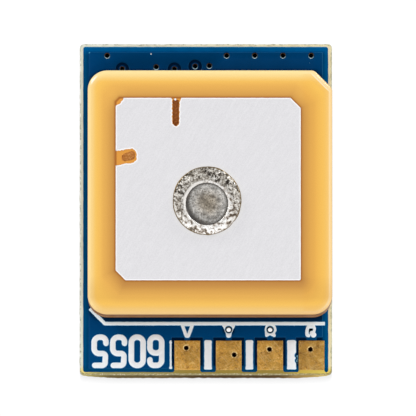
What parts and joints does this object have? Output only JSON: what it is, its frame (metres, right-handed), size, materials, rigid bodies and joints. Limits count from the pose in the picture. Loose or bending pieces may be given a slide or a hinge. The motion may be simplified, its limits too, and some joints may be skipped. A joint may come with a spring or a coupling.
{
  "type": "gps module",
  "caption": "Small satellite receiver board with a ceramic patch antenna on its front and wire pads along one edge.",
  "frame": {"origin": "bottom centre of the module's box, where it lies on the tall parts of its back", "axes": "+Z out of the antenna's face, +Y along the board's length away from the wire pads, +X to the right seen from the front"},
  "size_m": [0.0154, 0.0205, 0.0069],
  "materials": {
    "solder_mask": "blue solder mask over glass-epoxy laminate",
    "gold": "gold plating on copper, slightly tarnished",
    "ink": "raised white print",
    "ceramic": "fine-grained amber ceramic",
    "tape": "black foam tape",
    "silver": "fired silver, satin with fine scratches",
    "tinned_pin": "dull tinned brass",
    "solder": "solder",
    "moulding": "black moulding resin",
    "package_ceramic": "cream package ceramic",
    "lid_steel": "bright steel",
    "seal": "black seal",
    "lens": "clear resin",
    "capacitor": "brown ceramic with tinned ends",
    "inductor": "dark ceramic with tinned ends",
    "resistor": "black coat with tinned ends"
  },
  "bodies": {
    "root": {"circuit_board": "solder_mask", "wire_pad_1": "gold", "wire_pad_2": "gold", "wire_pad_3": "gold", "wire_pad_4": "gold", "legend_line": "ink", "legend_bar_1": "ink", "legend_bar_2": "ink", "legend_bar_3": "ink", "legend_tick": "ink", "ceramic_block": "ceramic", "adhesive_pad": "tape", "ground_electrode": "silver", "patch_electrode": "silver", "feed_pin": "tinned_pin", "patch_solder": "solder", "board_solder": "solder", "regulator_lead_1": "solder", "regulator_lead_2": "solder", "regulator_lead_3": "solder", "regulator_lead_4": "solder", "regulator_lead_5": "solder", "receiver_chip": "moulding", "low_noise_amplifier": "moulding", "regulator_body": "moulding", "oscillator_base": "package_ceramic", "clock_crystal_base": "package_ceramic", "saw_filter": "package_ceramic", "power_light_base": "package_ceramic", "fix_light_base": "package_ceramic", "oscillator_lid": "lid_steel", "clock_crystal_lid": "lid_steel", "cell_cap": "lid_steel", "cell_can": "lid_steel", "cell_tab_inner": "lid_steel", "cell_tab_outer": "lid_steel", "cell_seal": "seal", "power_light_lens": "lens", "fix_light_lens": "lens", "bulk_capacitor_1": "capacitor", "bulk_capacitor_2": "capacitor", "bulk_capacitor_3": "capacitor", "capacitor_1": "capacitor", "capacitor_2": "capacitor", "capacitor_3": "capacitor", "capacitor_4": "capacitor", "capacitor_5": "capacitor", "capacitor_6": "capacitor", "capacitor_7": "capacitor", "capacitor_8": "capacitor", "capacitor_9": "capacitor", "capacitor_10": "capacitor", "inductor_1": "inductor", "inductor_2": "inductor", "resistor_1": "resistor", "resistor_2": "resistor", "resistor_3": "resistor", "resistor_4": "resistor"}
  },
  "joints": []
}
